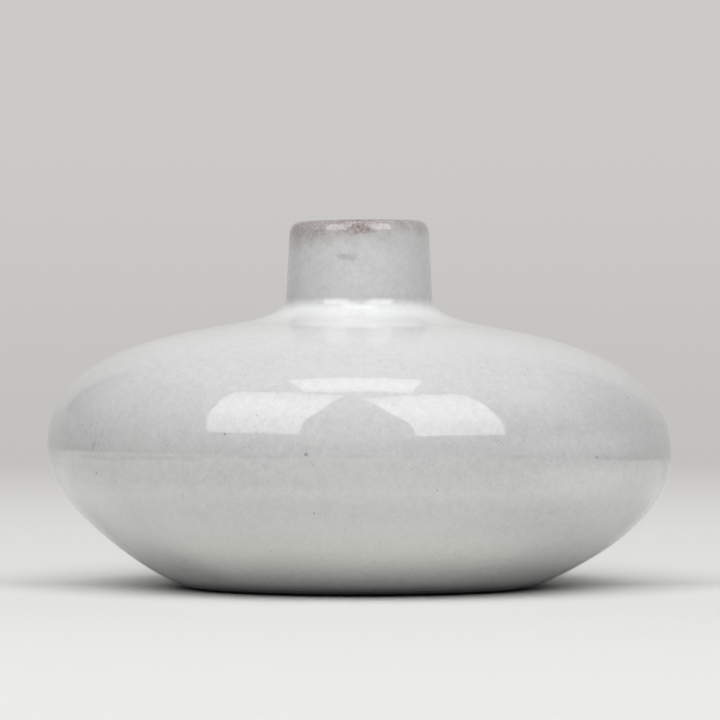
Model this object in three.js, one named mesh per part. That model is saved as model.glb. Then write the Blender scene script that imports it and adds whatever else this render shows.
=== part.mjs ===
// Small glazed bud vase in millimetres, standing on its foot with +Z up and its axis on Z.
// The body is two thrown bowls set rim to rim on a ring of slip. A thrown collar stands on the upper bowl,
// with a coil of clay worked hollow into the corner. A poured glaze lines the inside, a dipped one covers
// the outside. Every surface is the outside outline set inwards by a depth, so the layers meet face to face.

import * as THREE from 'three';

// Outside of the glazed vase
const BODY_DIAMETER = 108;
const SEAM_HEIGHT = 23.7;
const SHOULDER_HEIGHT = 45.4;
const SHOULDER_SLOPE = 0.16;
const COIL_WIDTH = 9.75;
const COIL_HEIGHT = 4.9;
const NECK_DIAMETER = 25.4;
const NECK_TAPER = 1.1;
const NECK_LENGTH = 18.1;
const RIM_ROUND = 1.8;
const MOUTH_ROUND = 1.3;

// Foot and the line above it where the outside glaze stops
const GLAZE_LINE_DIAMETER = 61;
const GLAZE_LINE_HEIGHT = 0.3;
const GLAZE_LINE_SLOPE = 0.451;
const FOOT_BEVEL = 0.9;
const FOOT_WIDTH = 6;
const RECESS_DEPTH = 0.9;
const RECESS_BEVEL = 1;

// Thicknesses
const BODY_WALL = 4;
const BASE_WALL = 3.5;
const NECK_WALL = 3.3;
const SLIP = 0.6;
const OUTER_GLAZE = 0.5;
const INNER_GLAZE = 0.4;

// Joint of collar and shoulder, and how far the outside glaze runs down the mouth
const SEAT_RISE = 0.4;
const SEAT_LEDGE = 0.8;
const GLAZE_LAP = 6;

// How far each curve follows its end directions, as a share of the curve's own rise or run
const GIRTH_FULLNESS = 0.69;
const CROWN_FULLNESS = 0.445;
const BELLY_FULLNESS = 0.401;
const FOOT_FULLNESS = 0.448;
const COIL_FOOT_FULLNESS = 0.513;
const COIL_TOP_FULLNESS = 0.546;

// Facets round the vase and along each curve
const SEGMENTS = 44;
const BELLY_SPANS = 7;
const SHOULDER_SPANS = 8;
const COIL_SPANS = 5;
const RIM_SPANS = 3;
const MOUTH_SPANS = 2;
const THROAT_SPANS = 4;

// Places that follow from the sizes above
const bodyRadius = BODY_DIAMETER / 2;
const neckRadius = NECK_DIAMETER / 2;
const rimRadius = neckRadius - NECK_TAPER / 2;
const coilEdgeRadius = neckRadius + COIL_WIDTH;
const glazeLineRadius = GLAZE_LINE_DIAMETER / 2;
const footRadius = glazeLineRadius - FOOT_BEVEL;
const recessRadius = footRadius - FOOT_WIDTH;
const seamBottom = SEAM_HEIGHT - SLIP / 2;
const seamTop = SEAM_HEIGHT + SLIP / 2;
const coilTop = SHOULDER_HEIGHT + COIL_HEIGHT;
const rimTop = SHOULDER_HEIGHT + NECK_LENGTH;
const lapHeight = rimTop - GLAZE_LAP;
const floorHeight = RECESS_DEPTH + BASE_WALL;
const collarRadius = neckRadius - OUTER_GLAZE;
const boreRadius = rimRadius - OUTER_GLAZE - NECK_WALL;
const mouthRadius = boreRadius - OUTER_GLAZE;
const lipWidth = rimRadius - mouthRadius;
const rimRound = Math.min(RIM_ROUND, lipWidth / 2);
const mouthRound = Math.min(MOUTH_ROUND, lipWidth / 2);
const clayInside = OUTER_GLAZE + BODY_WALL;
const liningInside = clayInside + INNER_GLAZE;

const clay = new THREE.MeshStandardMaterial({ color: 0xb49a8c, roughness: 0.85, metalness: 0 });
const slip = new THREE.MeshStandardMaterial({ color: 0xa88d7e, roughness: 0.9, metalness: 0 });
const paleGlaze = new THREE.MeshStandardMaterial({ color: 0xdde1e0, roughness: 0.1, metalness: 0 });
const lining = new THREE.MeshStandardMaterial({ color: 0xd2d5d3, roughness: 0.2, metalness: 0 });

function at(radius, height) {
  return new THREE.Vector2(radius, height);
}

// Outside curves, each running upwards from the table
const belly = bellyCurve();
const shoulder = shoulderCurve();
const coil = coilCurve();

function bellyCurve() {
  const run = (bodyRadius - glazeLineRadius) * FOOT_FULLNESS;
  const rise = (seamBottom - GLAZE_LINE_HEIGHT) * BELLY_FULLNESS;
  return new THREE.CubicBezierCurve(
    at(glazeLineRadius, GLAZE_LINE_HEIGHT),
    at(glazeLineRadius + run, GLAZE_LINE_HEIGHT + run * GLAZE_LINE_SLOPE),
    at(bodyRadius, seamBottom - rise),
    at(bodyRadius, seamBottom),
  );
}

function shoulderCurve() {
  const rise = (SHOULDER_HEIGHT - seamTop) * GIRTH_FULLNESS;
  const run = (bodyRadius - coilEdgeRadius) * CROWN_FULLNESS;
  return new THREE.CubicBezierCurve(
    at(bodyRadius, seamTop),
    at(bodyRadius, seamTop + rise),
    at(coilEdgeRadius + run, SHOULDER_HEIGHT - run * SHOULDER_SLOPE),
    at(coilEdgeRadius, SHOULDER_HEIGHT),
  );
}

function coilCurve() {
  const run = COIL_WIDTH * COIL_FOOT_FULLNESS;
  const rise = COIL_HEIGHT * COIL_TOP_FULLNESS;
  return new THREE.CubicBezierCurve(
    at(coilEdgeRadius, SHOULDER_HEIGHT),
    at(coilEdgeRadius - run, SHOULDER_HEIGHT + run * SHOULDER_SLOPE),
    at(neckRadius, coilTop - rise),
    at(neckRadius, coilTop),
  );
}

// Direction into the wall, square to the curve at t
function inward(curve, t) {
  const s = 1 - t;
  const along = at(0, 0)
    .addScaledVector(curve.v1.clone().sub(curve.v0), s * s)
    .addScaledVector(curve.v2.clone().sub(curve.v1), 2 * s * t)
    .addScaledVector(curve.v3.clone().sub(curve.v2), t * t)
    .normalize();
  return at(-along.y, along.x);
}

// Points along a curve, set into the wall by depth
function insetRun(curve, spans, depth) {
  return Array.from({ length: spans + 1 }, (_, step) => {
    const t = step / spans;
    return curve.getPoint(t).addScaledVector(inward(curve, t), depth);
  });
}

const bellyRun = (depth) => insetRun(belly, BELLY_SPANS, depth);
const shoulderRun = (depth) => insetRun(shoulder, SHOULDER_SPANS, depth);
const coilRun = (depth) => insetRun(coil, COIL_SPANS, depth);

function quarterArc(radius, height, round, startAngle, spans) {
  const arc = new THREE.ArcCurve(radius, height, round, startAngle, startAngle + Math.PI / 2, false);
  return arc.getPoints(spans);
}

// Over the rim and down the mouth to where the outside glaze stops
function lipRun(depth) {
  return [
    ...quarterArc(rimRadius - rimRound, rimTop - rimRound, rimRound - depth, 0, RIM_SPANS),
    ...quarterArc(mouthRadius + mouthRound, rimTop - mouthRound, mouthRound - depth, Math.PI / 2, MOUTH_SPANS),
    at(mouthRadius + depth, lapHeight),
  ];
}

// Underside of the crown, turning up into the bore of the neck
const seatHeight = shoulderRun(OUTER_GLAZE).at(-1).y + SEAT_RISE;
const seatEdge = at(collarRadius + SEAT_LEDGE, seatHeight);

function throatRun(depth) {
  const start = shoulderRun(depth).at(-1);
  const radius = boreRadius - (depth - clayInside);
  const bend = at(radius, start.y + (start.x - radius) * SHOULDER_SLOPE);
  const curve = new THREE.QuadraticBezierCurve(start, bend, at(radius, seatHeight));
  return curve.getPoints(THROAT_SPANS).slice(1);
}

// Inside of the vase from its floor up into the neck
function insideRun(depth) {
  return [...bellyRun(depth), ...shoulderRun(depth), ...throatRun(depth)];
}

// Outside of the vase from the glaze line up over the lip
function outsideRun(depth) {
  return [...bellyRun(depth), ...shoulderRun(depth), ...coilRun(depth).slice(1), ...lipRun(depth)];
}

// One body of revolution. The lathe turns about Y, and the vase stands along Z.
function turned(name, profile, material) {
  const geometry = new THREE.LatheGeometry(profile, SEGMENTS);
  geometry.rotateX(Math.PI / 2);
  const mesh = new THREE.Mesh(geometry, material);
  mesh.name = name;
  return mesh;
}

function turnedRing(name, section, material) {
  return turned(name, [...section, section[0]], material);
}

function lowerBowl() {
  const profile = [
    at(0, RECESS_DEPTH),
    at(recessRadius - RECESS_BEVEL, RECESS_DEPTH),
    at(recessRadius, 0),
    at(footRadius, 0),
    ...bellyRun(OUTER_GLAZE),
    ...bellyRun(clayInside).reverse(),
    at(0, floorHeight),
  ];
  return turned('lower_bowl', profile, clay);
}

function girthSlip() {
  const section = [
    at(bodyRadius - clayInside, seamBottom),
    at(bodyRadius - OUTER_GLAZE, seamBottom),
    at(bodyRadius - OUTER_GLAZE, seamTop),
    at(bodyRadius - clayInside, seamTop),
  ];
  return turnedRing('girth_slip', section, slip);
}

function shoulderDome() {
  const section = [
    ...shoulderRun(OUTER_GLAZE),
    seatEdge,
    ...throatRun(clayInside).reverse(),
    ...shoulderRun(clayInside).reverse(),
  ];
  return turnedRing('shoulder_dome', section, clay);
}

function neckCollar() {
  const section = [
    at(boreRadius, seatHeight),
    at(collarRadius, seatHeight),
    at(collarRadius, coilTop),
    ...lipRun(OUTER_GLAZE),
  ];
  return turnedRing('neck_collar', section, clay);
}

function neckCoil() {
  return turnedRing('neck_coil', [at(collarRadius, seatHeight), seatEdge, ...coilRun(OUTER_GLAZE)], clay);
}

function innerGlaze() {
  const profile = [
    at(0, floorHeight),
    ...insideRun(clayInside),
    at(boreRadius, lapHeight),
    at(boreRadius - INNER_GLAZE, lapHeight),
    ...insideRun(liningInside).reverse(),
    at(0, floorHeight + INNER_GLAZE),
  ];
  return turned('inner_glaze', profile, lining);
}

function outerGlaze() {
  return turnedRing('outer_glaze', [...outsideRun(0), ...outsideRun(OUTER_GLAZE).reverse()], paleGlaze);
}

const vase = new THREE.Group();
vase.add(lowerBowl(), girthSlip(), shoulderDome(), neckCollar(), neckCoil(), innerGlaze(), outerGlaze());

export default vase;
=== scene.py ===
"""A hand-thrown bud vase under a pale speckled glaze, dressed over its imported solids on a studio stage."""

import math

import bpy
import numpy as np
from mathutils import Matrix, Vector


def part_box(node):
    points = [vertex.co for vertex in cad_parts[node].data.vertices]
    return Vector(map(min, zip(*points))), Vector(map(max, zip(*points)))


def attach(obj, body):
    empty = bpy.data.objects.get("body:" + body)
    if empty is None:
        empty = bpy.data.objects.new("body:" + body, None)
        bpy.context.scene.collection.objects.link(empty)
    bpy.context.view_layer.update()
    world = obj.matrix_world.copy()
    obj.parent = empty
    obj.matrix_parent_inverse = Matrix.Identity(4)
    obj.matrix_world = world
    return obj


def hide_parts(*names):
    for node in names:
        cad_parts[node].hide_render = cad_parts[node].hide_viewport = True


bl_info = {
    "name": "Glazed Bud Vase",
    "version": (1, 0, 0),
    "blender": (4, 5, 0),
    "location": "View3D > Sidebar > Bud Vase",
    "description": "Turns a glazed bud vase in the frame of its packed solids and sets up its studio stage",
    "category": "Object",
}

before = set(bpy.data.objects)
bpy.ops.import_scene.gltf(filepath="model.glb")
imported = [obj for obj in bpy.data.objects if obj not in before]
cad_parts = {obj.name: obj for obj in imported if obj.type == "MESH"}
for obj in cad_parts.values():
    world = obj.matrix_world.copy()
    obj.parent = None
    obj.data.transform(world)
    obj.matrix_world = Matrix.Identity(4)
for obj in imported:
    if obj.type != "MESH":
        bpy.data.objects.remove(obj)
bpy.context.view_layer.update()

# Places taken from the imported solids, in metres
BOWL_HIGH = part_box("lower_bowl")[1]
SLIP_LOW, SLIP_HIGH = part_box("girth_slip")
COLLAR_LOW, COLLAR_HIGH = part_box("neck_collar")
COIL_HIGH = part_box("neck_coil")[1]
LINING_LOW, LINING_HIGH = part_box("inner_glaze")
SKIN_LOW, SKIN_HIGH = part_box("outer_glaze")
MM = 0.001
TINY = 1e-6

# How the outline curves, as in the solids: slopes, and how far each curve follows its end directions
SHOULDER_SLOPE = 0.16
GLAZE_LINE_SLOPE = 0.451
GIRTH_FULLNESS = 0.69
CROWN_FULLNESS = 0.445
BELLY_FULLNESS = 0.401
FOOT_FULLNESS = 0.448
COIL_FOOT_FULLNESS = 0.513
COIL_TOP_FULLNESS = 0.546

# Fineness of the turned meshes, and the angle from which an edge of theirs is sharp
SEGMENTS = 256
BELLY_STEPS = 72
SHOULDER_STEPS = 88
COIL_STEPS = 36
LIP_STEPS = 12
THROAT_STEPS = 16
SHARP_ANGLE = math.radians(35)

# How thick the outside glaze lies, from 0 to 1, at heights in millimetres, with painted shade and light in
# it: it pools above the foot and in the corner of the neck, and thins over the girth and up the neck. Its
# grey over the flanks above the girth is partly painted shade, and its white low on the belly and in the
# corner of the neck is partly painted light
GLAZE_DEPTHS_AND_SHADE = (
    (0.5, 0.00), (3.6, 0.52), (6.2, 0.86), (10.0, 0.74), (13.3, 0.52), (16.5, 0.47),
    (18.0, 0.30), (20.2, 0.13), (22.1, 0.06), (22.5, 0.00), (25.0, 0.06), (31.0, 0.17),
    (36.0, 0.31), (39.0, 0.44), (42.5, 0.63), (45.7, 0.66), (47.8, 0.84), (48.8, 0.60),
    (49.9, 0.12), (51.0, 0.09), (54.6, 0.13), (58.2, 0.10), (61.2, 0.00),
)

# Patches of painted shade and painted light on the glaze: darker low on the belly and higher on the flanks,
# lighter on the flanks about the joint. Middle and half sizes in millimetres, change of depth
PAINTED_LIGHT_AND_SHADE_PATCHES = (
    ((33, -26, 6), (19, 19, 10), -0.50),
    ((-31, -24, 5), (14, 14, 8), -0.48),
    ((-45, -24, 15), (14, 14, 8), 0.28),
    ((38, -37, 20), (24, 24, 4), 0.24),
    ((38, -38, 25), (28, 28, 3), 0.20),
    ((27, -38, 12.5), (20, 20, 6), -0.20),
    ((40, -31, 33), (16, 16, 7), -0.17),
    ((-33, -39, 33), (14, 14, 5), -0.10),
)

# The largest iron spots: middle and half size in millimetres
IRON_SPOTS = (
    ((-8.6, -53.3, 24.2), 0.42),
    ((-21.8, -49.1, 27.4), 0.32),
    ((-43.9, -30.9, 20.5), 0.45),
    ((-46.0, -26.9, 28.4), 0.45),
    ((39.2, -37.1, 23.4), 0.45),
    ((45.0, -29.5, 26.6), 0.40),
    ((7.2, -9.0, 62.6), 0.45),
)

# The joint at the girth runs higher in front: how much it and the glaze about it fall towards the back,
# the heights over which that ends, and the thin broken line that shows there
SEAM_TILT = 0.026
TILT_ENDS = (38 * MM, 47 * MM)
SEAM_LEVEL = 22.4 * MM
SEAM_WANDER = 1.6 * MM
SEAM_LINE = (0.05 * MM, 0.55 * MM)
SEAM_STRENGTH = 0.10
SEAM_BREAKS = (0.45, 0.6)

# Other marks on the glaze: middle and half sizes in millimetres, and strength
CRAZED_PATCH = ((-43.6, -31.6, 26.5), (7.0, 7.0, 3.5), 0.3)
NECK_SMUDGE = ((-2.0, -12.4, 57.0), (2.6, 2.6, 0.8), 0.25)
# The arch of bare clay on the front of the rim is placed and shaped as the painted dark reflection between
# the two softboxes
BARE_ARCH_AND_REFLECTION = ((-0.1, -11.4, 62.3), (4.6, 4.6, 2.0), 0.75)
CRACK_LEVELS = (0.56, 0.68)
IRON_STRENGTH = 0.5

# Layers of fine specks: cells per metre, share of cells with a speck, its size in the cell and its strength
GLAZE_SPECKS = (
    (1500.0, 0.08, 0.3, 0.25),
    (900.0, 0.12, 0.16, 0.27),
    (400.0, 0.09, 0.12, 0.5),
)
LINING_SPECKS = (300.0, 0.2, 0.1, 0.7)
CLAY_SPECKS = (700.0, 0.3, 0.25, 0.6)

# Least and largest share of its size that a speck has, and where specks, blots and patches fade at the edge
SPECK_SIZES = (0.4, 1.2)
SPECK_EDGE = (0.0, 0.6)
BLOT_EDGE = (0.3, 1.0)
PATCH_EDGE = (0.1, 1.0)

# Heights between which the glaze warms towards the foot, darkens with painted shade and turns black with a
# painted contact shadow at it, and wears off the rim
LOW_GLAZE = (6 * MM, 24 * MM)
FOOT_SHADE = (0.2 * MM, 2.4 * MM)
FOOT_SHADE_STRENGTH = 0.9
FOOT_SHADOW_LINE = (0.25 * MM, 0.95 * MM)
FOOT_SHADOW_EDGE = 0.5 * MM
RIM_WEAR = (58.8 * MM, 63.4 * MM)
RIM_WEAR_SLOPE = 0.09
RIM_WEAR_RAGGED = 4 * MM

# Waves of noise per metre. The bands round the vase and the cracks of crazed glaze differ across and up.
SEAM_WANDER_WAVES = 120.0
SEAM_BREAK_WAVES = 70.0
BLOT_WAVES = 900.0
RIM_RAGGED_WAVES = 420.0
LIP_FLECK_WAVES = 3000.0
CLAY_FLECK_WAVES = 2200.0
BAND_WAVES = (6.0, 6.0, 260.0)
CRACK_WAVES = (1600.0, 1600.0, 500.0)

# How strongly noise acts: on the glaze depth in the bands, on a blot's edge and on the tone of flecks
BAND_DEPTH = 0.12
BLOT_RAGGED = 1.6
FLECK_LEVELS = (0.3, 0.7)
LIP_FLECKS = (0.8, 1.2)
CLAY_FLECKS = (0.45, 1.15)

# How much fine grain the glaze shows from thin to thick, and how rough it is at its dry edge and elsewhere
GRAIN_DEPTHS = (0.62, 0.32)
DRY_ROUGHNESS = 0.8
GLAZE_ROUGHNESS = 0.05

# Heights between which the unevenness of the throwing comes and goes, and how its ridges wave
LEAN_STARTS = (0.0, 10 * MM)
LEAN_ENDS = (46 * MM, 55 * MM)
CROWN_LEAN_LOSS = 0.44
SLUMP_STARTS = (0.0, 0.8 * MM)
SLUMP_ENDS = (14 * MM, 22 * MM)
SLUMP_RADIUS = 25 * MM
RIM_TILT_STARTS = (52 * MM, 60 * MM)
RIDGE_PITCHES = (0.9 * MM, 0.52 * MM)
RIDGE_SWAY = 1.3

# Clay that the glaze hides: ledge of the neck's seat and bevel inside the foot ring
SEAT_LEDGE = 0.8 * MM
RECESS_BEVEL = 1 * MM

# Where the sweep changes its tone, in metres across, back and up from the vase
FLOOR_TO_BACKDROP = (0.10, 0.45)
FLAT_TO_RAISED = (0.37, 0.47)
LEFT_TO_RIGHT = (-0.2, 0.2)
FRONT_TO_NEAR = (-0.03, 0.03)
NEAR_TO_FAR = (0.02, 0.95)
LOW_TO_HIGH = (-0.06, 0.17)
CLEAR_OF_VASE = (0.045, 0.11)

# How far round from a side to the back, from 0 to 1, the dark flags and the bright side of the floor end
FLAG_TO_BACK = (0.45, 0.97)
SIDE_TO_BACK = (0.55, 0.85)

# The shadow on the floor: half width at the foot, how it narrows to back and front, and where it has gone
SHADOW_HALF_WIDTH = 0.035
SHADOW_NARROWS_BACK = 2.5
SHADOW_NARROWS_FRONT = 1.6
SHADOW_GONE_BACK = (0.02, 0.16)
SHADOW_GONE_FRONT = (0.0, 0.07)
FLOOR_LIT_FRONT = (-0.09, -0.04)

# Parts of a direction along an axis between which the front wall, the ceiling and the right side begin
TO_FRONT_WALL = (0.45, 0.9)
TO_CEILING = (0.15, 1.0)
TO_RIGHT = (0.1, 0.5)
PAST_FRONT = (-0.3, 0.2)

# Parts of a light panel, from its near to its far edge, over which its glow rises and falls
PANEL_RISE = (-0.15, 0.4)
PANEL_FALL = (0.45, 1.15)

# Camera: width of the picture in pixels, of the sensor in millimetres, and depth of view in metres
PHOTO_PIXELS = 720
SENSOR_WIDTH = 36.0
VIEW_DEPTH = 20.0

# What the settings for lengths and for colours share
LENGTH = {"unit": "LENGTH", "subtype": "DISTANCE"}
COLOUR = {"subtype": "COLOR", "size": 4, "min": 0, "max": 1}


class VaseShape(bpy.types.PropertyGroup):
    """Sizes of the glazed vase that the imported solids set, and of its hand-made unevenness."""

    body_radius: bpy.props.FloatProperty(
        name="Body radius", description="Outside radius at the girth", default=SKIN_HIGH.x, **LENGTH)
    glaze: bpy.props.FloatProperty(
        name="Glaze", description="Thickness of the outside glaze",
        default=SKIN_HIGH.x - BOWL_HIGH.x, **LENGTH)
    wall: bpy.props.FloatProperty(
        name="Wall", description="Thickness of the clay wall of the body",
        default=BOWL_HIGH.x - LINING_HIGH.x, **LENGTH)
    lining: bpy.props.FloatProperty(
        name="Lining", description="Thickness of the inside glaze", default=0.4 * MM, **LENGTH)
    glaze_line_radius: bpy.props.FloatProperty(
        name="Glaze line radius", description="Radius where the outside glaze stops above the foot",
        default=30.5 * MM, **LENGTH)
    shoulder_height: bpy.props.FloatProperty(
        name="Shoulder height", description="Height where the shoulder runs into the neck coil",
        default=45.4 * MM, **LENGTH)
    coil_width: bpy.props.FloatProperty(
        name="Coil width", description="How far the neck coil spreads over the shoulder",
        default=9.75 * MM, **LENGTH)
    neck_taper: bpy.props.FloatProperty(
        name="Neck taper", description="How much the neck's radius shrinks from the coil to the rim",
        default=0.55 * MM, **LENGTH)
    neck_wall: bpy.props.FloatProperty(
        name="Neck wall", description="Thickness of the clay at the rim", default=3.3 * MM, **LENGTH)
    slump: bpy.props.FloatProperty(
        name="Slump", description="How far the belly slumped outwards above the foot",
        default=0.24 * MM, **LENGTH)
    slump_aside: bpy.props.FloatProperty(
        name="Slump aside", description="How far the belly slumped towards its right side above the foot",
        default=0.12 * MM, **LENGTH)
    rim_round: bpy.props.FloatProperty(
        name="Rim round", description="How far the outer edge of the glazed rim rounds inwards",
        default=1.8 * MM, **LENGTH)
    rim_drop: bpy.props.FloatProperty(
        name="Rim drop", description="How far below its top the rim starts to round",
        default=2.3 * MM, **LENGTH)
    mouth_round: bpy.props.FloatProperty(
        name="Mouth round", description="Radius of the inner edge of the glazed rim",
        default=1.3 * MM, **LENGTH)
    foot_bevel: bpy.props.FloatProperty(
        name="Foot bevel", description="Width of the bare bevel outside the foot ring",
        default=0.9 * MM, **LENGTH)
    foot_width: bpy.props.FloatProperty(
        name="Foot width", description="Width of the ring that the vase stands on",
        default=6.0 * MM, **LENGTH)
    recess: bpy.props.FloatProperty(
        name="Recess", description="Depth of the recess inside the foot ring", default=0.9 * MM, **LENGTH)
    lean: bpy.props.FloatProperty(
        name="Lean", description="Slope of the girth from left to right, which foot and neck don't share",
        default=0.0144)
    rim_tilt: bpy.props.FloatProperty(
        name="Rim tilt", description="Slope of the rim, which rises to the right", default=0.011)
    ridge: bpy.props.FloatProperty(
        name="Throwing ridges", description="Height of the soft ridges left by the fingers",
        default=0.012 * MM, **LENGTH)


class VaseFinish(bpy.types.PropertyGroup):
    """Colours of glaze and clay, and of the painted contact shadow at the foot."""

    thick_glaze: bpy.props.FloatVectorProperty(
        name="Thick glaze", description="White of the outside glaze where it pools",
        default=(0.760, 0.77, 0.768, 1), **COLOUR)
    low_glaze: bpy.props.FloatVectorProperty(
        name="Low glaze", description="White of the outside glaze where it pools towards the foot",
        default=(0.768, 0.772, 0.738, 1), **COLOUR)
    thin_glaze: bpy.props.FloatVectorProperty(
        name="Thin glaze", description="Grey of the outside glaze where it runs thin",
        default=(0.485, 0.487, 0.485, 1), **COLOUR)
    lip: bpy.props.FloatVectorProperty(
        name="Lip", description="Grey of the glaze where it thins towards the rim",
        default=(0.345, 0.315, 0.31, 1), **COLOUR)
    rim: bpy.props.FloatVectorProperty(
        name="Rim", description="Colour of the rim where the glaze breaks over the clay",
        default=(0.31, 0.26, 0.248, 1), **COLOUR)
    # The specks' colour is also the painted shade that darkens the glaze towards the foot
    speck_and_shade: bpy.props.FloatVectorProperty(
        name="Specks", description="Colour of the iron specks", default=(0.10, 0.10, 0.13, 1), **COLOUR)
    lining: bpy.props.FloatVectorProperty(
        name="Lining", description="Colour of the inside glaze", default=(0.62, 0.63, 0.62, 1), **COLOUR)
    clay: bpy.props.FloatVectorProperty(
        name="Clay", description="Colour of the fired clay", default=(0.30, 0.21, 0.17, 1), **COLOUR)
    slip: bpy.props.FloatVectorProperty(
        name="Slip", description="Colour of the joining slip", default=(0.25, 0.18, 0.14, 1), **COLOUR)
    # Painted contact shadow: a near-black colour put where glaze and clay end at the foot, where there is
    # only shade
    contact_shadow: bpy.props.FloatVectorProperty(
        name="Contact shadow", description="Colour of the scorched line where glaze and clay end at the foot",
        default=(0.012, 0.011, 0.010, 1), **COLOUR)


class VaseStage(bpy.types.PropertyGroup):
    """Camera, lights and sweep."""

    camera_distance: bpy.props.FloatProperty(
        name="Camera distance", description="Distance from the vase's axis to the camera",
        default=0.75, **LENGTH)
    camera_aside: bpy.props.FloatProperty(
        name="Camera aside", description="How far the camera stands to the right of the vase's axis",
        default=0.136 * MM, **LENGTH)
    camera_height: bpy.props.FloatProperty(
        name="Camera height", description="Height of the camera above the floor",
        default=40 * MM, **LENGTH)
    camera_pitch: bpy.props.FloatProperty(
        name="Camera pitch", description="How far the camera looks down",
        default=math.radians(0.046), unit="ROTATION", subtype="ANGLE")
    focal_pixels: bpy.props.FloatProperty(
        name="Focal length in pixels", description="Focal length over the width of one pixel",
        default=4321.0)
    left_glow: bpy.props.FloatProperty(
        name="Left glow", description="Radiance of the large softbox on the left", default=3.2)
    right_glow: bpy.props.FloatProperty(
        name="Right glow", description="Radiance of the large softbox on the right", default=3.4)
    overhead_glow: bpy.props.FloatProperty(
        name="Overhead glow", description="Radiance of the small panel above the vase", default=2.35)
    room: bpy.props.FloatVectorProperty(
        name="Room", description="Light from the walls of the room",
        default=(0.26, 0.26, 0.26, 1), **COLOUR)
    front: bpy.props.FloatVectorProperty(
        name="Front", description="Light from the pale wall behind the camera",
        default=(0.62, 0.62, 0.62, 1), **COLOUR)
    ceiling: bpy.props.FloatVectorProperty(
        name="Ceiling", description="Light from the ceiling of the room",
        default=(0.40, 0.40, 0.40, 1), **COLOUR)
    floor: bpy.props.FloatVectorProperty(
        name="Floor", description="Colour of the sweep under the vase",
        default=(0.712, 0.709, 0.697, 1), **COLOUR)
    backdrop: bpy.props.FloatVectorProperty(
        name="Backdrop", description="Colour of the sweep behind the vase",
        default=(0.70, 0.695, 0.68, 1), **COLOUR)
    front_tone: bpy.props.FloatVectorProperty(
        name="Front tone", description="Brightness of the floor as it is seen in front of the vase",
        default=(0.805, 0.805, 0.79, 1), **COLOUR)
    near_tone: bpy.props.FloatVectorProperty(
        name="Near tone", description="Brightness of the sweep as it is seen just behind the vase",
        default=(0.77, 0.77, 0.755, 1), **COLOUR)
    far_tone: bpy.props.FloatVectorProperty(
        name="Far tone", description="Brightness of the sweep as it is seen where the floor turns up",
        default=(0.533, 0.522, 0.500, 1), **COLOUR)
    high_tone: bpy.props.FloatVectorProperty(
        name="High tone", description="Brightness of the sweep as it is seen above the vase",
        default=(0.60, 0.592, 0.575, 1), **COLOUR)
    side_tone: bpy.props.FloatVectorProperty(
        name="Side tone", description="Brightness of the floor beside the vase, as the glaze mirrors it",
        default=(1.0, 0.995, 0.96, 1), **COLOUR)
    left_flag: bpy.props.FloatVectorProperty(
        name="Left flag", description="Colour of the sweep's left side, dark to edge the pale vase",
        default=(0.28, 0.28, 0.28, 1), **COLOUR)
    right_flag: bpy.props.FloatVectorProperty(
        name="Right flag", description="Colour of the sweep's right side, dark to edge the pale vase",
        default=(0.45, 0.45, 0.45, 1), **COLOUR)


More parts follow.
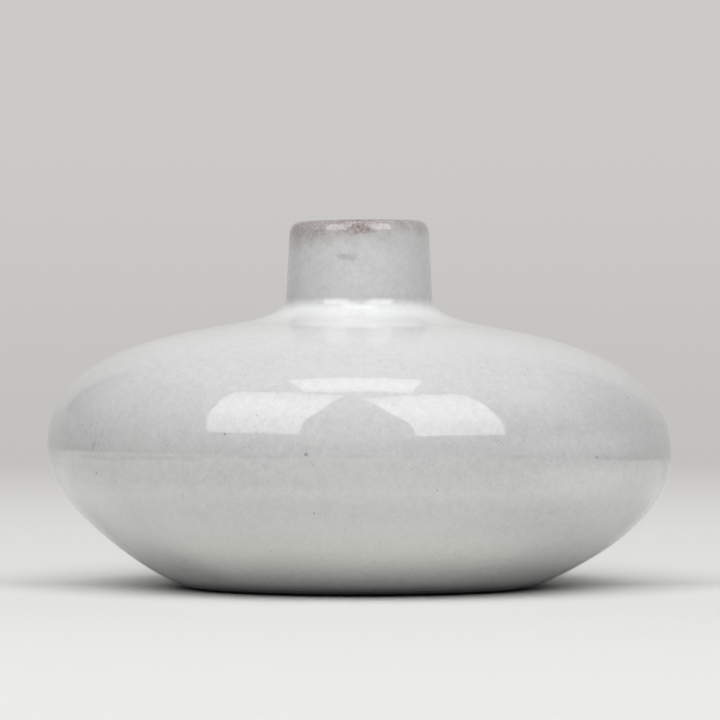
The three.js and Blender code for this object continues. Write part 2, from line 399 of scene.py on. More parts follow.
class Outline:
    """The glazed outline of the vase, and the same outline set into the wall by a depth."""

    def __init__(self, shape):
        self.shape = shape
        self.neck_radius = COLLAR_HIGH.x + shape.glaze
        self.rim_radius = self.neck_radius - shape.neck_taper
        self.coil_radius = self.neck_radius + shape.coil_width
        self.bore_radius = self.rim_radius - shape.glaze - shape.neck_wall
        self.mouth_radius = self.bore_radius - shape.glaze
        self.clay_inside = shape.glaze + shape.wall
        self.lining_inside = self.clay_inside + shape.lining
        self.foot_radius = shape.glaze_line_radius - shape.foot_bevel
        self.recess_radius = self.foot_radius - shape.foot_width
        self.seat_height = COLLAR_LOW.z
        self.lap_height = LINING_HIGH.z
        self.rim_top = SKIN_HIGH.z

    def belly(self, depth):
        shape = self.shape
        run = (shape.body_radius - shape.glaze_line_radius) * FOOT_FULLNESS
        rise = (SLIP_LOW.z - SKIN_LOW.z) * BELLY_FULLNESS
        return inset_curve([
            (shape.glaze_line_radius, SKIN_LOW.z),
            (shape.glaze_line_radius + run, SKIN_LOW.z + run * GLAZE_LINE_SLOPE),
            (shape.body_radius, SLIP_LOW.z - rise),
            (shape.body_radius, SLIP_LOW.z),
        ], BELLY_STEPS, depth)

    def shoulder(self, depth):
        shape = self.shape
        rise = (shape.shoulder_height - SLIP_HIGH.z) * GIRTH_FULLNESS
        run = (shape.body_radius - self.coil_radius) * CROWN_FULLNESS
        return inset_curve([
            (shape.body_radius, SLIP_HIGH.z),
            (shape.body_radius, SLIP_HIGH.z + rise),
            (self.coil_radius + run, shape.shoulder_height - run * SHOULDER_SLOPE),
            (self.coil_radius, shape.shoulder_height),
        ], SHOULDER_STEPS, depth)

    def coil(self, depth):
        shape = self.shape
        run = shape.coil_width * COIL_FOOT_FULLNESS
        rise = (COIL_HIGH.z - shape.shoulder_height) * COIL_TOP_FULLNESS
        return inset_curve([
            (self.coil_radius, shape.shoulder_height),
            (self.coil_radius - run, shape.shoulder_height + run * SHOULDER_SLOPE),
            (self.neck_radius, COIL_HIGH.z - rise),
            (self.neck_radius, COIL_HIGH.z),
        ], COIL_STEPS, depth)

    def lip(self, depth):
        shape = self.shape
        rim_centre = (self.rim_radius - shape.rim_round, self.rim_top - shape.rim_drop)
        mouth_centre = (self.mouth_radius + shape.mouth_round, self.rim_top - shape.mouth_round)
        wall = straight((self.neck_radius - depth, COIL_HIGH.z),
                        (self.rim_radius - depth, rim_centre[1]), LIP_STEPS)[1:-1]
        rim = quarter_arc(rim_centre, shape.rim_round - depth, shape.rim_drop - depth, 0)
        mouth = quarter_arc(mouth_centre, shape.mouth_round - depth, shape.mouth_round - depth, math.pi / 2)
        return np.vstack([wall, rim, mouth, [(self.mouth_radius + depth, self.lap_height)]])

    def throat(self, depth):
        start = self.shoulder(depth)[-1]
        radius = self.bore_radius - (depth - self.clay_inside)
        bend = (radius, start[1] + (start[0] - radius) * SHOULDER_SLOPE)
        end = (radius, self.seat_height)
        t = np.linspace(0, 1, THROAT_STEPS + 1)[1:, None]
        return (1 - t) ** 2 * start + 2 * (1 - t) * t * np.array(bend) + t ** 2 * np.array(end)

    def outside(self, depth):
        return np.vstack([self.belly(depth), self.shoulder(depth), self.coil(depth)[1:], self.lip(depth)])

    def inside(self, depth):
        return np.vstack([self.belly(depth), self.shoulder(depth), self.throat(depth)])


def inset_curve(control, steps, depth):
    """Points of a cubic curve that runs upwards, each moved into the wall by depth."""
    p = np.array(control)
    t = np.linspace(0, 1, steps + 1)[:, None]
    s = 1 - t
    points = s ** 3 * p[0] + 3 * s * s * t * p[1] + 3 * s * t * t * p[2] + t ** 3 * p[3]
    along = s * s * (p[1] - p[0]) + 2 * s * t * (p[2] - p[1]) + t * t * (p[3] - p[2])
    along /= np.linalg.norm(along, axis=1, keepdims=True)
    inward = np.stack([-along[:, 1], along[:, 0]], axis=1)
    return points + inward * depth


def quarter_arc(centre, across, up, start):
    angle = start + np.linspace(0, math.pi / 2, LIP_STEPS + 1)
    return np.stack([centre[0] + across * np.cos(angle), centre[1] + up * np.sin(angle)], axis=1)


def straight(start, end, steps):
    t = np.linspace(0, 1, steps + 1)[:, None]
    return (1 - t) * np.array(start) + t * np.array(end)


def ease(value, low, high):
    t = np.clip((value - low) / (high - low), 0, 1)
    return t * t * (3 - 2 * t)


def throw_by_hand(points, shape):
    """The unevenness that the whole wall shares: slump, lean of girth, tilt of rim and throwing ridges."""
    x, y, z = points.T
    turn = np.arctan2(y, x)
    radius = np.hypot(x, y)
    body = np.sin(math.pi * np.clip(z / shape.shoulder_height, 0, 1))
    first, second = RIDGE_PITCHES
    wave = np.sin(z / first + np.sin(turn)) + np.sin(z / second + RIDGE_SWAY * np.cos(turn))
    low = ease(z, *SLUMP_STARTS) * (1 - ease(z, *SLUMP_ENDS)) * ease(radius, 0, SLUMP_RADIUS)
    outwards = shape.ridge * body * wave + shape.slump * low
    swell = 1 + np.where(radius > TINY, outwards / np.maximum(radius, TINY), 0)
    crown = ease(z, SLIP_HIGH.z, LEAN_ENDS[0])
    leaning = ease(z, *LEAN_STARTS) * (1 - CROWN_LEAN_LOSS * crown) * (1 - ease(z, *LEAN_ENDS))
    lifted = x * (shape.rim_tilt * ease(z, *RIM_TILT_STARTS) - shape.lean * leaning)
    return np.stack([x * swell + shape.slump_aside * low, y * swell, z + lifted], axis=1)


def turned_mesh(name, profile, shape, closed):
    """Revolve a profile of radius and height: a ring's closed section, or one that ends on the axis."""
    profile = np.array(profile)
    inner = profile if closed else profile[1:-1]
    angle = np.linspace(0, 2 * math.pi, SEGMENTS, endpoint=False)
    rings = np.stack([
        np.outer(inner[:, 0], np.sin(angle)),
        np.outer(inner[:, 0], -np.cos(angle)),
        np.repeat(inner[:, 1:], SEGMENTS, axis=1),
    ], axis=2)
    points = rings.reshape(-1, 3)
    count = len(inner)
    faces = [
        (row * SEGMENTS + k, row * SEGMENTS + (k + 1) % SEGMENTS,
         (row + 1) % count * SEGMENTS + (k + 1) % SEGMENTS, (row + 1) % count * SEGMENTS + k)
        for row in range(count if closed else count - 1)
        for k in range(SEGMENTS)
    ]
    if not closed:
        first, last = len(points), len(points) + 1
        poles = [(0, 0, profile[0][1]), (0, 0, profile[-1][1])]
        points = np.vstack([points, poles])
        top = (count - 1) * SEGMENTS
        faces += [(first, (k + 1) % SEGMENTS, k) for k in range(SEGMENTS)]
        faces += [(last, top + k, top + (k + 1) % SEGMENTS) for k in range(SEGMENTS)]
    mesh = bpy.data.meshes.new(name)
    mesh.from_pydata(throw_by_hand(points, shape).tolist(), [], faces)
    mesh.shade_smooth()
    mesh.set_sharp_from_angle(angle=SHARP_ANGLE)
    mesh.validate()
    return mesh


def dress(name, node, profile, material, closed=True):
    """Make one turned piece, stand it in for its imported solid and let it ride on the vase."""
    shape = bpy.context.scene.vase_shape
    piece = bpy.data.objects.new(name, turned_mesh(name, profile, shape, closed))
    bpy.context.scene.collection.objects.link(piece)
    piece.data.materials.append(material)
    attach(piece, "root")
    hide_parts(node)
    return piece


def add(tree, kind, inputs=None, **settings):
    """Place a node, set its options, and set or link its inputs by name or number."""
    node = tree.nodes.new(kind)
    for key, value in settings.items():
        setattr(node, key, value)
    for key, value in (inputs or {}).items():
        if isinstance(value, bpy.types.NodeSocket):
            tree.links.new(value, node.inputs[key])
        else:
            node.inputs[key].default_value = value
    return node


def math_node(tree, operation, first, second=0.0):
    return add(tree, "ShaderNodeMath", {0: first, 1: second}, operation=operation).outputs[0]


def times(tree, first, second):
    return math_node(tree, "MULTIPLY", first, second)


def plus(tree, first, second):
    return math_node(tree, "ADD", first, second)


def minus(tree, first, second):
    return math_node(tree, "SUBTRACT", first, second)


def larger(tree, first, second):
    return math_node(tree, "MAXIMUM", first, second)


def split(tree, vector):
    return add(tree, "ShaderNodeSeparateXYZ", {0: vector}).outputs


def length(tree, vector):
    return add(tree, "ShaderNodeVectorMath", {0: vector}, operation="LENGTH").outputs["Value"]


def mix_colour(tree, factor, first, second, blend="MIX"):
    node = add(tree, "ShaderNodeMix", {0: factor, 6: first, 7: second}, data_type="RGBA", blend_type=blend)
    return node.outputs[2]


def map_range(tree, value, low, high, to_low=0.0, to_high=1.0):
    return add(tree, "ShaderNodeMapRange", {0: value, 1: low, 2: high, 3: to_low, 4: to_high},
               interpolation_type="SMOOTHSTEP").outputs[0]


def noise(tree, place, scale, detail=2.0, roughness=0.5):
    return add(tree, "ShaderNodeTexNoise",
               {"Vector": place, "Scale": scale, "Detail": detail, "Roughness": roughness}).outputs["Fac"]


def stretched(tree, place, scale):
    return add(tree, "ShaderNodeMapping", {"Vector": place, "Scale": scale}).outputs[0]


def new_group(name, amounts, result):
    """A shader node group that takes a place and some amounts and puts out one value."""
    tree = bpy.data.node_groups.new(name, "ShaderNodeTree")
    tree.interface.new_socket(name="Place", in_out="INPUT", socket_type="NodeSocketVector")
    for amount, default in amounts.items():
        item = tree.interface.new_socket(name=amount, in_out="INPUT", socket_type="NodeSocketFloat")
        item.default_value = default
    tree.interface.new_socket(name=result, in_out="OUTPUT", socket_type="NodeSocketFloat")
    return tree, tree.nodes.new("NodeGroupInput").outputs, tree.nodes.new("NodeGroupOutput").inputs


def specks_group():
    """Scattered round specks: a mask of the few cells that hold one, each of its own size."""
    tree, given, out = new_group("Specks", {
        "Cells per metre": 400.0, "Share of cells": 0.2, "Size in a cell": 0.2,
    }, "Mask")
    cells = add(tree, "ShaderNodeTexVoronoi",
                {"Vector": given["Place"], "Scale": given["Cells per metre"]})
    draw = add(tree, "ShaderNodeSeparateColor", {"Color": cells.outputs["Color"]})
    held = math_node(tree, "LESS_THAN", draw.outputs[0], given["Share of cells"])
    least, most = SPECK_SIZES
    own = plus(tree, times(tree, draw.outputs[1], most - least), least)
    size = times(tree, given["Size in a cell"], own)
    near = minus(tree, 1.0, math_node(tree, "DIVIDE", cells.outputs["Distance"], size))
    soft = map_range(tree, near, *SPECK_EDGE)
    tree.links.new(times(tree, held, soft), out["Mask"])
    return tree


def mottle_group():
    """The fine cloudiness of a fired surface: a value near one that varies by a given depth."""
    tree, given, out = new_group("Mottle", {
        "Grains per metre": 300.0, "Clouds per metre": 60.0, "Grain depth": 0.1, "Cloud depth": 0.1,
    }, "Value")
    grain = noise(tree, given["Place"], given["Grains per metre"], 5.0, 1.0)
    cloud = noise(tree, given["Place"], given["Clouds per metre"], 4.0)
    grain = centred(tree, grain, given["Grain depth"])
    cloud = centred(tree, cloud, given["Cloud depth"])
    tree.links.new(plus(tree, plus(tree, grain, cloud), 1.0), out["Value"])
    return tree


GROUP_MAKERS = {"Specks": specks_group, "Mottle": mottle_group}


def use_group(tree, name, inputs):
    """The value of a shared node group, which is built on its first use."""
    group = bpy.data.node_groups.get(name) or GROUP_MAKERS[name]()
    return add(tree, "ShaderNodeGroup", inputs, node_tree=group).outputs[0]


def surface(name):
    """A new material with its shader and the coordinates of the piece."""
    material = bpy.data.materials.new(name)
    material.use_nodes = True
    tree = material.node_tree
    shader = tree.nodes["Principled BSDF"]
    place = add(tree, "ShaderNodeTexCoord").outputs["Object"]
    return material, tree, shader, place


def scaled_colour(tree, colour, value):
    return mix_colour(tree, 1.0, colour, value, "MULTIPLY")


def stained(tree, body, mask, strength, colour):
    """A colour with another laid over it, as strongly as given, where a mask is set."""
    return mix_colour(tree, times(tree, mask, strength), body, colour)


def centred(tree, value, width):
    """A noise value turned into an offset to both sides of nought."""
    return times(tree, minus(tree, value, 0.5), width)


def far_from(tree, place, centre, half_sizes):
    """Distance from a point of the piece, measured in half sizes. Both are given in millimetres."""
    location = [value * MM for value in centre]
    scale = [value * MM for value in half_sizes]
    near = add(tree, "ShaderNodeMapping", {"Vector": place, "Location": location, "Scale": scale},
               vector_type="TEXTURE").outputs[0]
    return length(tree, near)


def blot(tree, place, centre, half_sizes):
    """A ragged oval mask about a point of the piece."""
    away = far_from(tree, place, centre, half_sizes)
    ragged = centred(tree, noise(tree, place, BLOT_WAVES, 3.0), BLOT_RAGGED)
    return map_range(tree, plus(tree, away, ragged), *BLOT_EDGE, 1.0, 0.0)


def glaze_depth_and_shade(tree, height):
    """How thick the glaze lies at a height, with painted shade and light in it, as a smooth run through the
    listed depths.
    """
    share = math_node(tree, "DIVIDE", height, SKIN_HIGH.z)
    node = add(tree, "ShaderNodeValToRGB", {0: share})
    ramp = node.color_ramp
    ramp.interpolation = "CARDINAL"
    for stop, (level, depth) in enumerate(GLAZE_DEPTHS_AND_SHADE):
        place = level * MM / SKIN_HIGH.z
        element = ramp.elements[stop] if stop < 2 else ramp.elements.new(place)
        element.position = place
        element.color = (depth, depth, depth, 1)
    return node.outputs["Color"]


def uneven_depth_and_shade(tree, place, level):
    """The depth of the glaze with its soft bands and the patches of painted shade and painted light."""
    bands = noise(tree, stretched(tree, place, BAND_WAVES), 1.0, 3.0)
    depth = plus(tree, glaze_depth_and_shade(tree, level), centred(tree, bands, BAND_DEPTH))
    for middle, half_sizes, change in PAINTED_LIGHT_AND_SHADE_PATCHES:
        patch = map_range(tree, far_from(tree, place, middle, half_sizes), *PATCH_EDGE, change, 0.0)
        depth = plus(tree, depth, patch)
    return depth


def speckled(tree, place, body, layer, finish):
    """A colour with one layer of fine specks over it."""
    cells, share, size, strength = layer
    specks = use_group(tree, "Specks", {
        "Place": place, "Cells per metre": cells, "Share of cells": share, "Size in a cell": size})
    return stained(tree, body, specks, strength, finish.speck_and_shade)


def marked_wall(tree, place, level, body, finish):
    """A glaze colour with the line of the joint, the crazed patch and the smudge on the neck."""
    wander = centred(tree, noise(tree, place, SEAM_WANDER_WAVES, 3.0), SEAM_WANDER)
    wandering = plus(tree, level, wander)
    off_seam = math_node(tree, "ABSOLUTE", minus(tree, wandering, SEAM_LEVEL))
    broken = map_range(tree, noise(tree, place, SEAM_BREAK_WAVES), *SEAM_BREAKS)
    seam = map_range(tree, off_seam, *SEAM_LINE, SEAM_STRENGTH, 0.0)
    body = stained(tree, body, seam, broken, finish.speck_and_shade)
    middle, half_sizes, strength = CRAZED_PATCH
    cracks = map_range(tree, noise(tree, stretched(tree, place, CRACK_WAVES), 1.0, 3.0), *CRACK_LEVELS)
    crazed = times(tree, cracks, blot(tree, place, middle, half_sizes))
    body = stained(tree, body, crazed, strength, finish.speck_and_shade)
    middle, half_sizes, strength = NECK_SMUDGE
    return stained(tree, body, blot(tree, place, middle, half_sizes), strength, finish.speck_and_shade)


def worn_rim(tree, place, parts, body, finish):
    """A glaze colour worn thin and grey towards the rim, with iron spots and an arch of bare clay that is
    also a painted dark reflection.
    """
    ragged = centred(tree, noise(tree, place, RIM_RAGGED_WAVES, 4.0), RIM_WEAR_RAGGED)
    rising = times(tree, parts["X"], RIM_WEAR_SLOPE)
    worn_level = plus(tree, minus(tree, parts["Z"], rising), ragged)
    lip_flecks = map_range(tree, noise(tree, place, LIP_FLECK_WAVES, 1.0), *FLECK_LEVELS, *LIP_FLECKS)
    lip = scaled_colour(tree, finish.lip, lip_flecks)
    body = mix_colour(tree, map_range(tree, worn_level, *RIM_WEAR), body, lip)
    for middle, half_size in IRON_SPOTS:
        spot = blot(tree, place, middle, (half_size, half_size, half_size))
        body = stained(tree, body, spot, IRON_STRENGTH, finish.speck_and_shade)
    # Bare clay laid in the arch between the lamps' reflections on the rim, also a painted dark reflection
    middle, half_sizes, strength = BARE_ARCH_AND_REFLECTION
    clay_flecks = map_range(tree, noise(tree, place, CLAY_FLECK_WAVES, 2.0), *FLECK_LEVELS, *CLAY_FLECKS)
    bare_clay = scaled_colour(tree, finish.rim, clay_flecks)
    return stained(tree, body, blot(tree, place, middle, half_sizes), strength, bare_clay)


def outer_glaze_material(finish):
    """Pale glaze: clouded and speckled, with painted shade and light in its depth, thin and grey below the
    rim, broken to clay on it, and with painted shade and a painted contact shadow at the foot.
    """
    material, tree, shader, place = surface("pale_speckled_glaze")
    parts = split(tree, place)
    tilt = map_range(tree, parts["Z"], *TILT_ENDS, SEAM_TILT, 0.0)
    level = plus(tree, parts["Z"], times(tree, parts["Y"], tilt))
    # The depth carries painted shade and painted light as well as the glaze's own thinning and pooling
    depth = uneven_depth_and_shade(tree, place, level)
    mottle = use_group(tree, "Mottle", {
        "Place": place, "Grains per metre": 650.0, "Clouds per metre": 45.0,
        "Grain depth": map_range(tree, depth, 0.0, 1.0, *GRAIN_DEPTHS), "Cloud depth": 0.12})
    pooled = mix_colour(tree, map_range(tree, level, *LOW_GLAZE), finish.low_glaze, finish.thick_glaze)
    body = mix_colour(tree, depth, finish.thin_glaze, pooled)
    body = scaled_colour(tree, body, mottle)
    body = marked_wall(tree, place, level, body, finish)
    body = worn_rim(tree, place, parts, body, finish)
    # Painted shade darkens the glaze towards the foot in the specks' colour, and a painted contact shadow
    # blackens its lowest line
    at_foot = map_range(tree, parts["Z"], *FOOT_SHADE, FOOT_SHADE_STRENGTH, 0.0)
    body = mix_colour(tree, at_foot, body, finish.speck_and_shade)
    shadowed = map_range(tree, parts["Z"], *FOOT_SHADOW_LINE, 1.0, 0.0)
    body = mix_colour(tree, shadowed, body, finish.contact_shadow)
    for layer in GLAZE_SPECKS:
        body = speckled(tree, place, body, layer, finish)
    tree.links.new(body, shader.inputs["Base Color"])
    dry_edge = map_range(tree, parts["Z"], *FOOT_SHADOW_LINE, DRY_ROUGHNESS, GLAZE_ROUGHNESS)
    tree.links.new(dry_edge, shader.inputs["Roughness"])
    shader.inputs["IOR"].default_value = 1.6
    return material


def lining_material(finish):
    """The poured glaze inside, a little greyer than the skin."""
    material, tree, shader, place = surface("poured_lining_glaze")
    mottle = use_group(tree, "Mottle", {
        "Place": place, "Grains per metre": 300.0, "Clouds per metre": 40.0,
        "Grain depth": 0.3, "Cloud depth": 0.2})
    body = scaled_colour(tree, finish.lining, mottle)
    body = speckled(tree, place, body, LINING_SPECKS, finish)
    tree.links.new(body, shader.inputs["Base Color"])
    shader.inputs["Roughness"].default_value = 0.12
    return material


def clay_material(name, colour, finish, foot_radius):
    """Bare fired clay: matt, grainy and flecked, with a painted contact shadow at the outside of the foot.
    """
    material, tree, shader, place = surface(name)
    height = split(tree, place)["Z"]
    reach = length(tree, place)
    mottle = use_group(tree, "Mottle", {
        "Place": place, "Grains per metre": 400.0, "Clouds per metre": 60.0,
        "Grain depth": 0.6, "Cloud depth": 0.3})
    body = scaled_colour(tree, colour, mottle)
    body = speckled(tree, place, body, CLAY_SPECKS, finish)
    low = map_range(tree, height, SKIN_LOW.z, 2 * SKIN_LOW.z, 1.0, 0.0)
    # Painted contact shadow on the outside of the foot bevel
    outer = map_range(tree, reach, foot_radius - FOOT_SHADOW_EDGE, foot_radius)
    body = stained(tree, body, low, outer, finish.contact_shadow)
    tree.links.new(body, shader.inputs["Base Color"])
    bump = add(tree, "ShaderNodeBump", {"Height": mottle, "Distance": 0.05 * MM, "Strength": 0.6})
    tree.links.new(bump.outputs[0], shader.inputs["Normal"])
    shader.inputs["Roughness"].default_value = 0.85
    return material


class VASE_OT_outer_glaze(bpy.types.Operator):
    """Turn the glaze skin that covers the outside, the lip and the top of the mouth."""

    bl_idname = "vase.outer_glaze"
    bl_label = "Outer Glaze"

    def execute(self, context):
        scene = context.scene
        outline = Outline(scene.vase_shape)
        section = np.vstack([outline.outside(0), outline.outside(scene.vase_shape.glaze)[::-1]])
        dress("outer_glaze_skin", "outer_glaze", section, outer_glaze_material(scene.vase_finish))
        return {"FINISHED"}


class VASE_OT_inner_glaze(bpy.types.Operator):
    """Turn the poured glaze that lines the inside."""

    bl_idname = "vase.inner_glaze"
    bl_label = "Inner Glaze"

    def execute(self, context):
        scene = context.scene
        outline = Outline(scene.vase_shape)
        lining = scene.vase_shape.lining
        profile = np.vstack([
            [(0, LINING_LOW.z)], outline.inside(outline.clay_inside),
            [(outline.bore_radius, outline.lap_height), (outline.bore_radius - lining, outline.lap_height)],
            outline.inside(outline.lining_inside)[::-1], [(0, LINING_LOW.z + lining)]])
        dress("inner_glaze_lining", "inner_glaze", profile,
              lining_material(scene.vase_finish), closed=False)
        return {"FINISHED"}


class VASE_OT_clay_body(bpy.types.Operator):
    """Turn the four pieces of clay: bowl, dome, collar and coil."""

    bl_idname = "vase.clay_body"
    bl_label = "Clay Body"

    def execute(self, context):
        scene = context.scene
        shape = scene.vase_shape
        outline = Outline(shape)
        finish = scene.vase_finish
        clay = clay_material("fired_clay", finish.clay, finish, outline.foot_radius)
        seat_ledge = (COLLAR_HIGH.x + SEAT_LEDGE, outline.seat_height)
        bowl = np.vstack([
            [(0, shape.recess), (outline.recess_radius - RECESS_BEVEL, shape.recess),
             (outline.recess_radius, 0), (outline.foot_radius, 0)],
            outline.belly(shape.glaze), outline.belly(outline.clay_inside)[::-1], [(0, LINING_LOW.z)]])
        dome = np.vstack([
            outline.shoulder(shape.glaze), [seat_ledge],
            outline.throat(outline.clay_inside)[::-1], outline.shoulder(outline.clay_inside)[::-1]])
        collar = np.vstack([
            [(outline.bore_radius, outline.seat_height), (COLLAR_HIGH.x, outline.seat_height),
             (COLLAR_HIGH.x, COIL_HIGH.z)], outline.lip(shape.glaze)])
        coil = np.vstack([[(COLLAR_HIGH.x, outline.seat_height), seat_ledge], outline.coil(shape.glaze)])
        dress("lower_bowl_clay", "lower_bowl", bowl, clay, closed=False)
        dress("shoulder_dome_clay", "shoulder_dome", dome, clay)
        dress("neck_collar_clay", "neck_collar", collar, clay)
        dress("neck_coil_clay", "neck_coil", coil, clay)
        return {"FINISHED"}


class VASE_OT_girth_slip(bpy.types.Operator):
    """Turn the ring of slip that joins bowl and dome."""

    bl_idname = "vase.girth_slip"
    bl_label = "Girth Slip"

    def execute(self, context):
        scene = context.scene
        section = [
            (LINING_HIGH.x, SLIP_LOW.z), (SLIP_HIGH.x, SLIP_LOW.z),
            (SLIP_HIGH.x, SLIP_HIGH.z), (LINING_HIGH.x, SLIP_HIGH.z)]
        finish = scene.vase_finish
        foot_radius = Outline(scene.vase_shape).foot_radius
        slip = clay_material("joining_slip", finish.slip, finish, foot_radius)
        dress("girth_slip_ring", "girth_slip", section, slip)
        return {"FINISHED"}


def ray_kinds(tree):
    """Masks of the rays that come straight from the camera, and by way of a mirroring or clear surface."""
    path = add(tree, "ShaderNodeLightPath").outputs
    mirrored = larger(tree, path["Is Glossy Ray"], path["Is Transmission Ray"])
    return path["Is Camera Ray"], mirrored


def shown_floor(tree, parts, aside):
    """A mask of the floor that lies out of the vase's shadow, behind, beside or in front of it."""
    clear_of_foot = minus(tree, aside, SHADOW_HALF_WIDTH)
    beyond_foot = larger(tree, clear_of_foot, 0.0)
    to_back = plus(tree, parts["Y"], times(tree, beyond_foot, SHADOW_NARROWS_BACK))
    to_side = times(tree, clear_of_foot, SHADOW_NARROWS_FRONT)
    to_front = minus(tree, to_side, parts["Y"])
    in_front = times(tree, map_range(tree, to_front, *SHADOW_GONE_FRONT),
                     map_range(tree, parts["Y"], *FLOOR_LIT_FRONT))
    return larger(tree, map_range(tree, to_back, *SHADOW_GONE_BACK), in_front)


def sweep_material(stage, back_stretch):
    """Matt paper, pale under the vase and grey behind it, that is clear when it is seen from outside. Out of
    the vase's shadow it shows painted tones of brightness to the camera and the glaze.
    """
    material, tree, shader, place = surface("studio_sweep")
    tree.nodes.remove(shader)
    parts = split(tree, place)
    back = math_node(tree, "MINIMUM", parts["Y"], math_node(tree, "DIVIDE", parts["Y"], back_stretch))
    squares = plus(tree, math_node(tree, "POWER", parts["X"], 2.0), math_node(tree, "POWER", back, 2.0))
    out_from_axis = math_node(tree, "SQRT", squares)
    outer = map_range(tree, out_from_axis, *FLOOR_TO_BACKDROP)
    colour = mix_colour(tree, outer, stage.floor, stage.backdrop)
    reach = length(tree, place)
    facing = math_node(tree, "ABSOLUTE", math_node(tree, "DIVIDE", parts["Y"], reach))
    behind = map_range(tree, facing, *FLAG_TO_BACK)
    raised = map_range(tree, out_from_axis, *FLAT_TO_RAISED)
    flagged = times(tree, raised, minus(tree, 1.0, behind))
    flags = mix_colour(tree, map_range(tree, parts["X"], *LEFT_TO_RIGHT), stage.left_flag, stage.right_flag)
    colour = mix_colour(tree, flagged, colour, flags)
    paper = add(tree, "ShaderNodeBsdfDiffuse", {"Color": colour}).outputs[0]

    from_camera, mirrored = ray_kinds(tree)
    aside = math_node(tree, "ABSOLUTE", parts["X"])
    # Painted tones of brightness that the camera and the glaze see; beside the vase the glaze alone mirrors
    # a painted brighter floor
    tone = mix_colour(tree, map_range(tree, parts["Y"], *NEAR_TO_FAR), stage.near_tone, stage.far_tone)
    tone = mix_colour(tree, map_range(tree, parts["Y"], *FRONT_TO_NEAR), stage.front_tone, tone)
    tone = mix_colour(tree, map_range(tree, parts["Z"], *LOW_TO_HIGH), tone, stage.high_tone)
    beside = times(tree, map_range(tree, aside, *CLEAR_OF_VASE),
                   map_range(tree, facing, *SIDE_TO_BACK, 1.0, 0.0))
    beside = times(tree, beside, minus(tree, 1.0, raised))
    tone = stained(tree, tone, beside, mirrored, stage.side_tone)
    tone = mix_colour(tree, flagged, tone, flags)
    seen = add(tree, "ShaderNodeEmission", {"Color": tone}).outputs[0]
    far_away = map_range(tree, larger(tree, aside, parts["Y"]), *CLEAR_OF_VASE)
    looked_at = larger(tree, from_camera, mirrored)
    lit = times(tree, looked_at, shown_floor(tree, parts, aside))
    shown = larger(tree, lit, times(tree, mirrored, far_away))
    paper = add(tree, "ShaderNodeMixShader", {0: shown, 1: paper, 2: seen}).outputs[0]

    clear = add(tree, "ShaderNodeBsdfTransparent")
    outside = add(tree, "ShaderNodeNewGeometry").outputs["Backfacing"]
    both = add(tree, "ShaderNodeMixShader", {0: outside, 1: paper, 2: clear.outputs[0]})
    tree.links.new(both.outputs[0], tree.nodes["Material Output"].inputs["Surface"])
    return material


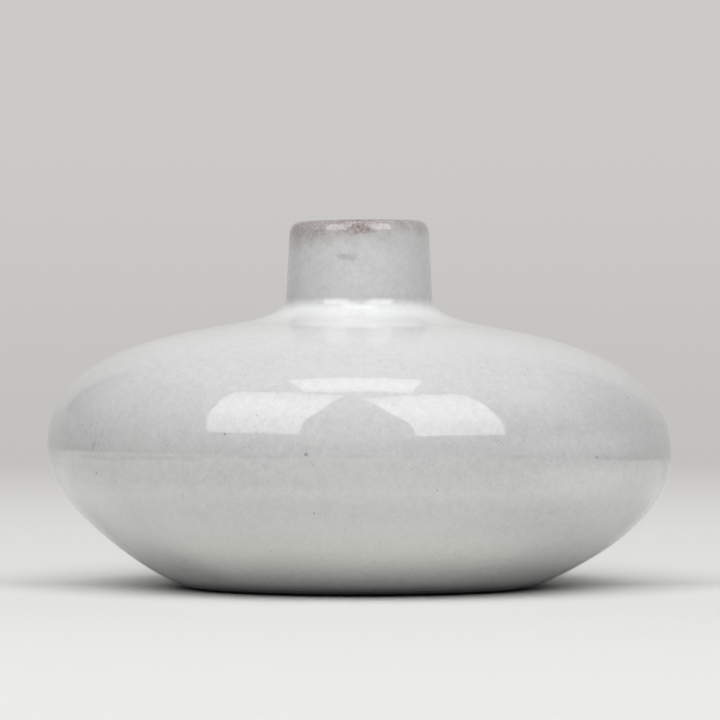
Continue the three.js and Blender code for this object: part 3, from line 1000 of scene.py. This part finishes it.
class VASE_OT_stage(bpy.types.Operator):
    """Set up the sweep, the lights, the room and the camera."""

    bl_idname = "vase.stage"
    bl_label = "Stage"

    middle_radius = 0.02
    flat_radius = 0.40
    bend_radius = 0.20
    bend_points = 33
    turn_points = 128
    back_height = 2.0
    back_stretch = 2.4

    # Sines of the turn from the right side between which the bend and the wall above it rise
    bend_rises = (-0.75, -0.5)
    wall_rises = (0.5, 0.9)

    # Light panels: name, size, place, tilt and turn in degrees, share of the glow at near and far edge
    panels = (
        ("softbox_left", (0.431, 0.686), (-0.334, -0.337, 0.55), 50.1, -29.6, 0.6, 0.4),
        ("softbox_right", (0.410, 0.650), (0.305, -0.365, 0.556), 51.5, 35.5, 0.75, 0.4),
        ("overhead_panel", (0.240, 0.175), (0.001, -0.035, 0.55), -1.2, 1.9, 0.6, 0.5),
    )

    def execute(self, context):
        stage = context.scene.vase_stage
        self.make_sweep(context, stage)
        self.make_lights(context, stage)
        self.make_camera(context, stage)
        context.scene.view_settings.view_transform = "Standard"
        return {"FINISHED"}

    def bend_opened(self, x, y, height):
        """A point of the bend, lowered to the floor where it lies towards the camera."""
        low, high = self.bend_rises
        out = math.hypot(x, y)
        return x, y, height * ease(y, low * out, high * out + TINY)

    def make_sweep(self, context, stage):
        angle = np.linspace(0, math.pi / 2, self.bend_points)
        bend = np.stack([self.flat_radius + self.bend_radius * np.sin(angle),
                         self.bend_radius * (1 - np.cos(angle))], axis=1)
        profile = np.vstack([[(self.middle_radius, 0)], bend, bend[-1:]])
        turn = np.linspace(0, 2 * math.pi, self.turn_points, endpoint=False)
        points = [(0, 0, 0)] + [(r * math.cos(a), r * math.sin(a), h) for r, h in profile for a in turn]
        points = [self.bend_opened(*point) for point in points]
        for k, a in enumerate(turn):
            rise = (self.back_height - self.bend_radius) * ease(math.sin(a), *self.wall_rises)
            x, y, h = points[k - len(turn)]
            points[k - len(turn)] = (x, y, h + rise)
        count = len(turn)
        faces = [(0, 1 + k, 1 + (k + 1) % count) for k in range(count)]
        faces += [
            (1 + row * count + k, 1 + (row + 1) * count + k,
             1 + (row + 1) * count + (k + 1) % count, 1 + row * count + (k + 1) % count)
            for row in range(len(profile) - 1) for k in range(count)]
        points = [(x, max(y, y * self.back_stretch), h) for x, y, h in points]
        mesh = bpy.data.meshes.new("studio_sweep")
        mesh.from_pydata(points, [], faces)
        mesh.shade_smooth()
        sweep = bpy.data.objects.new("studio_sweep", mesh)
        context.scene.collection.objects.link(sweep)
        mesh.materials.append(sweep_material(stage, self.back_stretch))

    def make_lights(self, context, stage):
        for panel, glow in zip(self.panels, (stage.left_glow, stage.right_glow, stage.overhead_glow)):
            self.add_panel(context, *panel, glow)
        world = bpy.data.worlds.new("room")
        world.use_nodes = True
        tree = world.node_tree
        way = split(tree, add(tree, "ShaderNodeTexCoord").outputs["Generated"])
        forward = times(tree, way["Y"], -1.0)
        colour = mix_colour(tree, map_range(tree, forward, *TO_FRONT_WALL), stage.room, stage.front)
        colour = mix_colour(tree, map_range(tree, way["Z"], *TO_CEILING), colour, stage.ceiling)
        from_camera, mirrored = ray_kinds(tree)
        on_right = times(tree, map_range(tree, way["X"], *TO_RIGHT), map_range(tree, way["Y"], *PAST_FRONT))
        colour = stained(tree, colour, on_right, mirrored, stage.right_flag)
        colour = mix_colour(tree, from_camera, colour, stage.backdrop)
        tree.links.new(colour, tree.nodes["Background"].inputs["Color"])
        context.scene.world = world

    def add_panel(self, context, name, size, place, tilt, turn, near, far, glow):
        light = bpy.data.lights.new(name, "AREA")
        light.shape = "RECTANGLE"
        light.size, light.size_y = size
        light.energy = glow * math.pi * size[0] * size[1]
        light.use_nodes = True
        tree = light.node_tree
        across = split(tree, add(tree, "ShaderNodeNewGeometry").outputs["Parametric"])["Y"]
        strength = times(tree, map_range(tree, across, *PANEL_RISE, near, 1.0),
                         map_range(tree, across, *PANEL_FALL, 1.0, far))
        tree.links.new(strength, tree.nodes["Emission"].inputs["Strength"])
        panel = bpy.data.objects.new(name, light)
        panel.location = place
        panel.rotation_euler = (math.radians(tilt), 0, math.radians(turn))
        context.scene.collection.objects.link(panel)

    def make_camera(self, context, stage):
        data = bpy.data.cameras.new("photo_camera")
        data.sensor_width = SENSOR_WIDTH
        data.lens = stage.focal_pixels / PHOTO_PIXELS * SENSOR_WIDTH
        data.clip_end = VIEW_DEPTH
        camera = bpy.data.objects.new("photo_camera", data)
        camera.location = (stage.camera_aside, -stage.camera_distance, stage.camera_height)
        camera.rotation_euler = (math.pi / 2 - stage.camera_pitch, 0, 0)
        context.scene.collection.objects.link(camera)
        context.scene.camera = camera


class VIEW3D_PT_vase(bpy.types.Panel):
    """Lists the vase's pieces and sizes in the sidebar."""

    bl_label = "Bud Vase"
    bl_space_type = "VIEW_3D"
    bl_region_type = "UI"
    bl_category = "Bud Vase"

    def draw(self, context):
        for operator in OPERATORS:
            self.layout.operator(operator.bl_idname)
        for settings in (context.scene.vase_shape, context.scene.vase_finish, context.scene.vase_stage):
            box = self.layout.box()
            for key in settings.__annotations__:
                box.prop(settings, key)


GROUPS = {"vase_shape": VaseShape, "vase_finish": VaseFinish, "vase_stage": VaseStage}
OPERATORS = (VASE_OT_stage, VASE_OT_clay_body, VASE_OT_girth_slip, VASE_OT_inner_glaze, VASE_OT_outer_glaze)


def register():
    for cls in (*GROUPS.values(), *OPERATORS, VIEW3D_PT_vase):
        bpy.utils.register_class(cls)
    for key, cls in GROUPS.items():
        setattr(bpy.types.Scene, key, bpy.props.PointerProperty(type=cls))


def unregister():
    for key in GROUPS:
        delattr(bpy.types.Scene, key)
    for cls in reversed((*GROUPS.values(), *OPERATORS, VIEW3D_PT_vase)):
        bpy.utils.unregister_class(cls)


def main():
    register()
    bpy.ops.vase.stage()
    bpy.ops.vase.clay_body()
    bpy.ops.vase.girth_slip()
    bpy.ops.vase.inner_glaze()
    bpy.ops.vase.outer_glaze()


if __name__ == "__main__":
    main()
